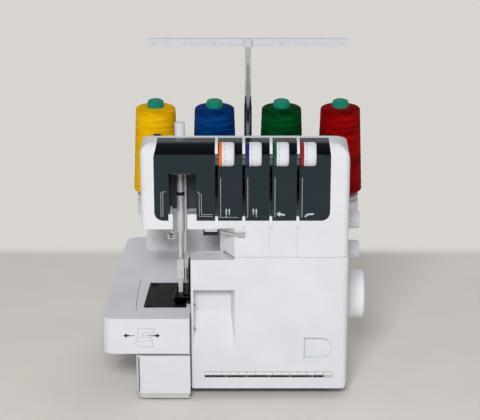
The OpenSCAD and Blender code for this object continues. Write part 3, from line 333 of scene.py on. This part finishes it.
def strip(path, width, level=0.0, rise=PRINT):
    """A thin printed line of that width along a path of (x, z) points on a front face at depth level."""
    points, faces = [], []
    for (x0, z0), (x1, z1) in zip(path, path[1:]):
        run = Vector((x1 - x0, z1 - z0))
        side = Vector((-run.y, run.x)).normalized() * width / 2
        ahead = run.normalized() * width / 2
        base = len(points)
        for x, z in ((x0 - ahead.x - side.x, z0 - ahead.y - side.y),
                     (x1 + ahead.x - side.x, z1 + ahead.y - side.y),
                     (x1 + ahead.x + side.x, z1 + ahead.y + side.y),
                     (x0 - ahead.x + side.x, z0 - ahead.y + side.y)):
            points += [(x, level - rise, z), (x, level + 0.02, z)]
        faces += [tuple(base + i for i in f) for f in ((0, 2, 4, 6), (1, 7, 5, 3), (0, 1, 3, 2),
                                                       (2, 3, 5, 4), (4, 5, 7, 6), (6, 7, 1, 0))]
    return points, faces


def join(*shapes):
    """Several point and face lists as one."""
    points, faces = [], []
    for p, f in shapes:
        faces += [tuple(i + len(points) for i in face) for face in f]
        points += p
    return points, faces


def patch(outline, level=0.0, rise=PRINT):
    """A thin printed shape: a filled outline of (x, z) points on a front face."""
    n = len(outline)
    points = [(x, level - rise, z) for x, z in outline] + [(x, level + 0.02, z) for x, z in outline]
    faces = [tuple(range(n)), tuple(range(2 * n - 1, n - 1, -1))]
    faces += [(i, (i + 1) % n, (i + 1) % n + n, i + n) for i in range(n)]
    return points, faces


def oval(x, z, rx, rz, steps=20):
    return [(x + rx * math.cos(2 * math.pi * i / steps), z + rz * math.sin(2 * math.pi * i / steps))
            for i in range(steps)]


def digits(text, height, place):
    """Points and faces of plain figures, set by place(u, v): u to the right and v up, in millimetres."""
    curve = bpy.data.curves.new("figures", "FONT")
    curve.body, curve.size, curve.align_x, curve.align_y = text, height, "CENTER", "CENTER"
    curve.resolution_u = 2
    holder = bpy.data.objects.new("figures", curve)
    mesh = bpy.data.meshes.new_from_object(holder)
    bpy.data.objects.remove(holder)
    points = [place(v.co.x, v.co.y) for v in mesh.vertices]
    faces = [tuple(f.vertices) for f in mesh.polygons]
    bpy.data.meshes.remove(mesh)
    return points, faces


# ---------------------------------------------------------------- thread cones
CONE_FOOT_R, CONE_TOP_R, CORE_R, CORE_FOOT_R = 28.0, 24.3, 10.0, 17.0


def wound_profile():
    """Side of the winding: a straight taper between two rounded shoulders."""
    rows = [(CORE_FOOT_R - 1.5, 0.0), (CONE_FOOT_R - 1.6, 0.0),
            (CONE_FOOT_R - 0.5, 0.5), (CONE_FOOT_R, 2.0)]
    steps, top = 60, CONE_TIP - CONE_FOOT - 12.0
    for i in range(1, steps):
        t = 2.0 + (top - 2.0) * i / steps
        r = CONE_FOOT_R + (CONE_TOP_R - CONE_FOOT_R) * (t - 2.0) / (top - 2.0)
        rows.append((r - 0.12 + 0.1 * math.sin(t * 0.9) * math.sin(t * 0.31), t))
    rows += [(CONE_TOP_R - 0.1, top), (CONE_TOP_R - 0.5, top + 1.3), (CONE_TOP_R - 1.6, top + 2.2),
             (CONE_TOP_R - 4.0, top + 2.8), (CORE_R + 3.0, top + 3.7), (CORE_R + 0.2, top + 3.5)]
    return rows


def tube_profile():
    """A cone's plastic tube: a foot rim, a long taper, and a rounded cap with a dished top."""
    top = CONE_TIP - CONE_FOOT
    return [(CORE_FOOT_R - 1.6, -2.0), (CORE_FOOT_R, -2.0), (CORE_FOOT_R - 0.05, -0.2),
            (CORE_R + 0.3, top - 8.0), (CORE_R, top - 3.4), (CORE_R - 0.5, top - 1.6),
            (CORE_R - 1.6, top - 0.5), (CORE_R - 2.8, top),
            (CORE_R - 4.2, top - 0.5), (CORE_R - 5.2, top - 0.9), (0.0, top - 1.0)]


for i, x in enumerate(CONES):
    spot = (x, CONE_Y, CONE_FOOT)
    body = f"thread_cone_{i + 1}"
    slot = ["thread_yellow", "thread_blue", "thread_green", "thread_red"][i]
    piece(f"{body}_winding", *lathe(wound_profile(), spot, steps=96), threads[i], body, slot, origin=spot,
          instead=[body])
    piece(f"{body}_tube", *lathe(tube_profile(), spot, steps=64), teal_pp, body, "guide_plastic",
          origin=spot)


# ---------------------------------------------------------------- numbered dials
def drum(name, centre, rows, body, slot, material, flutes=0, flute_depth=0.3, from_t=0.0, instead=()):
    """A turned dial on an axis along X. From from_t outwards its rim has flutes for the fingers."""
    ring = None
    if flutes:
        def ring(angle, r, t):
            inside = t >= from_t and r > 0.6 * rows[1][0]
            return r - (flute_depth * (0.5 + 0.5 * math.cos(flutes * angle)) ** 2 if inside else 0)
    return piece(name, *lathe(rows, centre, axis="X", steps=flutes * 8 if flutes else 96, ring=ring),
                 material, body, slot, instead=instead)


def on_drum(centre, radius, x, angle, rise=PRINT):
    """Placing function for a figure on a drum's rim: v runs up the front, u along the axis."""
    def place(u, v):
        turn = angle + v / radius
        r = radius + rise
        return (centre[0] + x + u, centre[1] - r * math.cos(turn), centre[2] + r * math.sin(turn))
    return place


def figures(centre, radius, x, height, count, step):
    """Numbers 0, 1, 2 ... round a drum's rim, with a short tick between each two."""
    shapes = []
    for n in range(count):
        angle = math.radians(step) * (n - (count - 1) / 2)
        shapes.append(digits(str(n), height, on_drum(centre, radius, x, angle)))
        place = on_drum(centre, radius, x, angle + math.radians(step) / 2)
        tick = [place(u, v) for u, v in ((-1.1, -0.12), (0.3, -0.12), (0.3, 0.12), (-1.1, 0.12))]
        shapes.append((tick, [(0, 1, 2, 3)]))
    return join(*shapes)


for i, x in enumerate(CHANNELS):
    body = f"tension_dial_{i + 1}"
    spot = (x + DIAL_GAP, DIAL_Y, DIAL_Z)
    rim = DIAL_R - 0.3
    drum(f"{body}_drum", spot,
         [(2.05, RING_W), (rim, RING_W), (rim, RING_W + 0.3), (rim, 9.0), (rim, DIAL_W - 2.6),
          (rim - 0.5, DIAL_W - 1.6), (rim - 1.1, DIAL_W - 0.2), (rim - 1.6, DIAL_W),
          (9.0, DIAL_W), (8.4, DIAL_W - 0.6), (4.2, DIAL_W - 0.6), (3.8, DIAL_W - 0.2),
          (2.05, DIAL_W - 0.2), (2.05, RING_W)],
         body, "white_plastic", white_abs, instead=[body])
    drum(f"{body}_ring", spot, [(2.05, 0.0), (DIAL_R - 0.4, 0.0), (DIAL_R, 0.4), (DIAL_R, RING_W - 0.4),
                                (DIAL_R - 0.15, RING_W), (2.05, RING_W), (2.05, 0.0)],
         body, "white_plastic", stripes[i])
    piece(f"{body}_figures", *figures(spot, rim, 6.4, 3.0, 10, 28), black_ink_and_slot_shade, body, "black_plastic",
          smooth=False)

# the two side dials, and the heights of their axes
for name, z in (("stitch_length_dial", 196.5), ("differential_dial", 158.5)):
    spot = (BODY_RIGHT + 0.8, SHAFT[0], z)
    drum(f"{name}_knob", spot,
         [(4.0, -8.8), (4.0, 0.0), (11.3, 0.0), (11.5, 0.3), (11.3, 5.6), (11.0, 6.0), (11.0, 6.6),
          (11.1, 7.0), (10.7, 15.0), (10.2, 15.8), (9.6, 16.0), (7.0, 16.0), (6.6, 15.5), (0.0, 15.5)],
         name, "white_plastic", white_abs, flutes=24, flute_depth=0.45, from_t=6.3, instead=[name])
    piece(f"{name}_figures", *figures(spot, 11.5, 3.0, 3.2, 7, 38), black_ink_and_slot_shade, name, "black_plastic",
          smooth=False)

# ---------------------------------------------------------------- prints on the dark panel
LINE_TOP, LINE_FOOT, MARK_Z = 274.0, 226.6, 299.5
FINE, THIN = 0.4, 0.45                          # widths of the printed lines
panel = []
for i, x in enumerate(CHANNELS):
    line = x + 4.6
    panel.append(strip([(line, LINE_TOP), (line, LINE_FOOT)], THIN))
    if i == 0:
        panel.append(strip([(x + 3.0, LINE_FOOT), (x + 24.5, LINE_FOOT)], FINE))
    if i == 1:
        panel.append(strip([(x + 2.6, LINE_FOOT), (line, LINE_FOOT)], FINE))
    # mark on the panel's edge beside each dial
    panel.append(strip([(x + 2.0, MARK_Z), (x + 2.4, MARK_Z)], 0.5))
# a double line up each side of the needle bay
panel.append(strip([(-94.8, 227.6), (-94.8, 256.0), (-93.4, 257.6)], FINE))
panel.append(strip([(-92.6, 227.6), (-92.6, 256.0), (-91.2, 257.6), (-89.0, 257.6)], FINE))
for x, low, bend, top in ((-51.2, 227.8, 256.0, 257.4), (-48.8, 230.0, 254.4, 255.6)):
    panel.append(strip([(x - 2.4, top), (x, bend), (x, low), (-36.0, low)], FINE))
# small signs: two pairs of needles, and the two loopers
SIGN_TOP, SIGN_PITCH, SHANK = 236.0, 3.4, 0.55  # top, spacing, and the thick part of a needle sign
for x0, heights in ((-20.4, (9.0, 6.5)), (10.4, (6.5, 9.0))):
    for k, tall in enumerate(heights):
        x = x0 + SIGN_PITCH * k
        waist, tip = SIGN_TOP - tall * SHANK, SIGN_TOP + 0.4 - tall
        panel.append(strip([(x, SIGN_TOP), (x, waist)], 1.5))
        panel.append(strip([(x, waist), (x, tip)], 0.5))
        panel.append(strip([(x - 1.0, tip), (x + 1.0, tip)], THIN))
panel.append(patch([(36.6, 230.4), (41.2, 233.8), (40.8, 231.6), (46.6, 230.2), (46.2, 228.4),
                    (41.0, 229.4), (40.8, 227.4)]))
panel.append(patch([(68.4, 227.6), (70.4, 226.8), (72.6, 229.2), (78.0, 229.6), (80.4, 230.8),
                    (77.6, 231.6), (71.6, 231.0)]))
piece("panel_print", *join(*panel), white_ink, "body", "white_plastic", smooth=False)

# ---------------------------------------------------------------- small parts under the head
piece("lamp_neck", *patch([(-45.4, 207.5), (-31.1, 207.5), (-31.1, HEAD_Z - 0.2), (-45.4, HEAD_Z - 0.2)],
                          level=4.5), white_abs, "body", "white_plastic", smooth=False)


def slab(xs, ys, zs):
    """Points and faces of a plain slab between two places on each axis."""
    corners = ((xs[0], ys[0]), (xs[1], ys[0]), (xs[1], ys[1]), (xs[0], ys[1]))
    points = [(x, y, z) for z in zs for x, y in corners]
    return points, [(0, 1, 2, 3), (4, 7, 6, 5), (0, 4, 5, 1), (1, 5, 6, 2), (2, 6, 7, 3), (3, 7, 4, 0)]


piece("lamp_lens", *slab((-45.9, -30.6), (4.1, 13.9), (203.7, 204.6)), lamp_window, "body", "clear_plastic",
      smooth=False)
# a lip along the foot of the apron behind the presser foot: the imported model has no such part
ease(piece("apron_lip", *slab((-117.4, -27.6), (112.4, 116.0), (142.6, 146.4)), white_abs, "body",
           "white_plastic"), 0.8)
# dark eyelet marks on the white thread guide beside the presser bar
EYE_X, EYE_Z = PRESSER[0] - 11.5, HEAD_Z - 25.6
zigzag = [(EYE_X - 2.6, EYE_Z + 3.4), (EYE_X - 1.2, EYE_Z + 1.0), (EYE_X + 2.4, EYE_Z + 1.6),
          (EYE_X - 1.8, EYE_Z - 2.2), (EYE_X + 0.6, EYE_Z - 3.0), (EYE_X + 2.6, EYE_Z - 2.0)]
piece("thread_eyelet", *strip(zigzag, 1.1, level=PRESSER[1]), black_ink_and_slot_shade, "body", "black_plastic",
      smooth=False)
# outline of the needle clamp's plate
CLAMP_X, CLAMP_Y = NEEDLE[0] - 0.5, NEEDLE[1] - 1.6
CLAMP_HALF, CLAMP_LOW, CLAMP_HIGH = 1.7, 156.2, 161.6
frame_line = [(CLAMP_X + side * CLAMP_HALF, z) for side, z in
              ((-1, CLAMP_HIGH), (1, CLAMP_HIGH), (1, CLAMP_LOW), (-1, CLAMP_LOW), (-1, CLAMP_HIGH))]
piece("clamp_outline", *strip(frame_line, 0.5, level=CLAMP_Y), black_ink_and_slot_shade, "needle_bar", "black_plastic",
      smooth=False)
# screws on the looper cover's left edge: each slot is a black strip on the head, painted shade in place of a
# cut groove
SCREW_X, SCREW_R, SCREW_PROUD = -57.7, 1.5, 0.3
for k, z in enumerate((119.0, 89.0)):
    head = patch(oval(SCREW_X, z, SCREW_R, SCREW_R), rise=SCREW_PROUD)
    slot_shade = strip([(SCREW_X - 1.0, z - 0.4), (SCREW_X + 1.0, z + 0.4)], 0.4, level=-SCREW_PROUD, rise=0.02)
    piece(f"cover_screw_{k + 1}", *head, tool_steel, "looper_cover", "tool_steel", smooth=False)
    piece(f"cover_screw_{k + 1}_slot", *slot_shade, black_ink_and_slot_shade, "looper_cover", "black_plastic", smooth=False)

# ---------------------------------------------------------------- ruler, in two scales, on the looper cover
RULER_LEFT, RULER_RIGHT, RULER_LOW, RULER_MID, RULER_HIGH = -46.4, 103.6, 26.2, 29.2, 33.6
dark, light = [], []
dark.append(patch([(RULER_LEFT, RULER_LOW), (RULER_RIGHT - 9.6, RULER_LOW), (RULER_RIGHT - 9.6, RULER_MID),
                   (RULER_LEFT, RULER_MID)]))
dark.append(strip([(RULER_LEFT, RULER_HIGH), (RULER_RIGHT, RULER_HIGH)], 0.3))
for n in range(16):
    x = RULER_LEFT + 10 * n
    dark.append(strip([(x, RULER_HIGH), (x, RULER_HIGH - 1.6)], 0.3))
    if 0 < n < 15:
        dark.append(digits(str(n), 2.6, lambda u, v, x=x: (x + u, -PRINT, RULER_MID + 1.5 + v)))
    if n < 15:
        dark.append(strip([(x + 5, RULER_HIGH), (x + 5, RULER_HIGH - 1.0)], 0.2))
for n in range(1, 6):
    x = RULER_LEFT + 25.4 * n
    light.append(strip([(x, RULER_LOW + 0.1), (x, RULER_MID)], 0.7, level=-PRINT, rise=0.02))
    light.append(digits(str(n), 2.4, lambda u, v, x=x:
                        (x - 2.6 + u, -PRINT - 0.02, (RULER_LOW + RULER_MID) / 2 + v)))
for n in range(1, 24):
    if n % 4:
        x = RULER_LEFT + 25.4 * n / 4
        light.append(strip([(x, RULER_LOW + 0.1), (x, RULER_LOW + 1.1)], 0.25, level=-PRINT, rise=0.02))
for k in range(3):
    z = RULER_LOW + 0.3 + 1.1 * k
    dark.append(strip([(RULER_RIGHT - 8.8, z), (RULER_RIGHT, z)], 0.35))
dark.append(strip([(RULER_RIGHT, RULER_LOW), (RULER_RIGHT, RULER_HIGH)], 0.3))
piece("ruler_print", *join(*dark), black_ink_and_slot_shade, "looper_cover", "black_plastic", smooth=False)
piece("ruler_marks", *join(*light), white_ink, "looper_cover", "white_plastic", smooth=False)

# ---------------------------------------------------------------- sign on the table: it slides to the left
TABLE_Y = -9.85                                 # floor of the shallow recess in the table's front
ARROW_Z = 84.0
sign = []
for tip, way in ((-140.6, 1), (-97.6, -1)):
    barb, tail = tip + 4.2 * way, tip + 7.6 * way
    arrow = [(tip, 0.0), (barb, 2.9), (barb, 0.9), (tail, 0.9), (tail, -0.9), (barb, -0.9), (barb, -2.9)]
    sign.append(patch([(x, ARROW_Z + z) for x, z in arrow], level=TABLE_Y))
    for k in range(3):
        x = tip + (8.8 + 2.0 * k) * way
        sign.append(patch(oval(x, ARROW_Z, 0.55, 0.9, 8), level=TABLE_Y))
outline = []
machine = [(-124.0, 92.6), (-103.6, 92.6), (-104.6, 87.6), (-118.0, 87.4), (-118.4, 81.2), (-107.4, 81.4),
           (-106.4, 70.4), (-120.0, 69.6), (-126.4, 72.4), (-125.4, 80.0), (-122.8, 81.0), (-124.0, 92.6)]
outline.append(strip(machine, 0.4, level=TABLE_Y))
outline.append(strip([(-125.2, 76.6), (-107.0, 77.6)], 0.35, level=TABLE_Y))
outline.append(strip([(-117.8, 84.2), (-106.0, 85.0)], 0.3, level=TABLE_Y))
piece("table_sign_arrows", *join(*sign), black_ink_and_slot_shade, "extension_table", "black_plastic", smooth=False)
piece("table_sign_outline", *join(*outline), grey_ink, "extension_table", "white_plastic", smooth=False)

# ---------------------------------------------------------------- floor, light and camera
WALL = "#d8d5d1"                                # tone of the paper where it is lit as a wall
# Studio paper: warm pale grey under the machine, and a lit wall tone where it runs up behind
paper, paper_tree = new_material("matt_studio_paper")
ground = add(paper_tree, "SeparateXYZ", {"Vector": add(paper_tree, "TexCoord").outputs["Object"]})
reach = [add(paper_tree, "Math", {0: ground.outputs[axis]}, operation="ABSOLUTE").outputs[0] for axis in "XY"]
away = add(paper_tree, "Math", {0: reach[0], 1: reach[1]}, operation="MAXIMUM")
sweep = add(paper_tree, "MapRange", {"Value": away.outputs[0], "From Min": 0.335, "From Max": 0.385},
            interpolation_type="SMOOTHERSTEP")
ray = add(paper_tree, "LightPath")
direct = add(paper_tree, "Math", {0: ray.outputs["Is Camera Ray"], 1: ray.outputs["Is Glossy Ray"]},
             operation="MAXIMUM")
seen = add(paper_tree, "Math", {0: direct.outputs[0], 1: ray.outputs["Is Transmission Ray"]},
           operation="MAXIMUM")
wall = add(paper_tree, "Math", {0: sweep.outputs["Result"], 1: seen.outputs[0]}, operation="MULTIPLY")
fibre = add(paper_tree, "TexNoise",
            {"Vector": add(paper_tree, "TexCoord").outputs["Object"], "Scale": per_mm(90)})
tone = add(paper_tree, "ValToRGB", {"Fac": fibre.outputs["Fac"]},
           stops=[(0.3, "#e4dfd9"), (0.7, "#e8e3dd")])
matt = add(paper_tree, "BsdfPrincipled",
           {"Base Color": tone.outputs["Color"], "Roughness": 0.9, "IOR": 1.3})
lit = add(paper_tree, "Emission", {"Color": colour(WALL), "Strength": 1.0})
close(paper, paper_tree,
      add(paper_tree, "MixShader", {0: wall.outputs[0], 1: matt.outputs[0], 2: lit.outputs[0]}))
FLOOR_R, FLOOR_SIDES = 5.0, 64                  # metres
turns = [2 * math.pi * i / FLOOR_SIDES for i in range(FLOOR_SIDES)]
floor_mesh = bpy.data.meshes.new("studio_floor")
floor_mesh.from_pydata([(FLOOR_R * math.cos(a), FLOOR_R * math.sin(a), 0.0) for a in turns], [],
                       [tuple(range(FLOOR_SIDES))])
floor_mesh.materials.append(paper)
studio_floor = bpy.data.objects.new("studio_floor", floor_mesh)
bpy.context.scene.collection.objects.link(studio_floor)

world = bpy.data.worlds.new("studio")
bpy.context.scene.world = world
world.use_nodes = True
sky = world.node_tree
sky.nodes.clear()
LEVEL = 0.38                                    # light that the room gives from all around
rays = add(sky, "LightPath")
toward = add(sky, "SeparateXYZ", {"Vector": add(sky, "TexCoord").outputs["Generated"]})
# what polished faces mirror: a pale wall behind, a dim ceiling, and the dark room in front of the machine
front = add(sky, "MapRange", {"Value": toward.outputs["Y"], "From Min": 0.1, "From Max": 0.9})
high = add(sky, "MapRange",
           {"Value": toward.outputs["Z"], "From Min": 0.45, "From Max": 0.9, "To Max": 0.25})
open_room = add(sky, "Math", {0: front.outputs["Result"], 1: high.outputs["Result"]}, operation="MAXIMUM")
mirrored = add(sky, "MapRange", {"Value": open_room.outputs[0], "To Min": 0.02, "To Max": 0.45})
strength = add(sky, "Mix", {0: rays.outputs["Is Glossy Ray"], 2: LEVEL, 3: mirrored.outputs["Result"]},
               data_type="FLOAT")
room = add(sky, "Background", {"Color": colour("#f4f3f2"), "Strength": strength.outputs[0]})
backdrop = add(sky, "Background", {"Color": colour(WALL), "Strength": 1.0})
shown = add(sky, "MixShader", {0: rays.outputs["Is Camera Ray"], 1: room.outputs[0], 2: backdrop.outputs[0]})
add(sky, "OutputWorld", {"Surface": shown.outputs[0]})


def lamp(name, place, aim, size, power, mirrored=True):
    data = bpy.data.lights.new(name, "AREA")
    data.shape, data.size, data.size_y, data.energy = "RECTANGLE", size[0], size[1], power
    obj = bpy.data.objects.new(name, data)
    obj.location = place
    obj.rotation_euler = (Vector(aim) - Vector(place)).to_track_quat("-Z", "Y").to_euler()
    obj.visible_glossy = mirrored
    bpy.context.scene.collection.objects.link(obj)


lamp("key_softbox", (-0.25, -2.1, 1.45), (0, 0, 0.2), (0.7, 0.5), 38.0, mirrored=False)
lamp("back_softbox", (0.6, 1.9, 1.2), (0, 0, 0.2), (0.9, 0.7), 8.0, mirrored=False)

# camera: a long lens, well away, aimed at the middle of the machine from a little above
TARGET = Vector((-4.77 + STEP_X, 89.58 + STEP_Y, 203.81)) / 1000
ELEVATION, DISTANCE = math.radians(19.5), 2.1   # distance in metres
camera_data = bpy.data.cameras.new("camera")
camera_data.lens, camera_data.sensor_width = 131.97, 36.0
camera_data.clip_end = 50
camera = bpy.data.objects.new("camera", camera_data)
camera.location = TARGET + DISTANCE * Vector((0, -math.cos(ELEVATION), math.sin(ELEVATION)))
camera.rotation_euler = (TARGET - camera.location).to_track_quat("-Z", "Y").to_euler()
bpy.context.scene.collection.objects.link(camera)
bpy.context.scene.camera = camera
bpy.context.scene.view_settings.view_transform = "Standard"
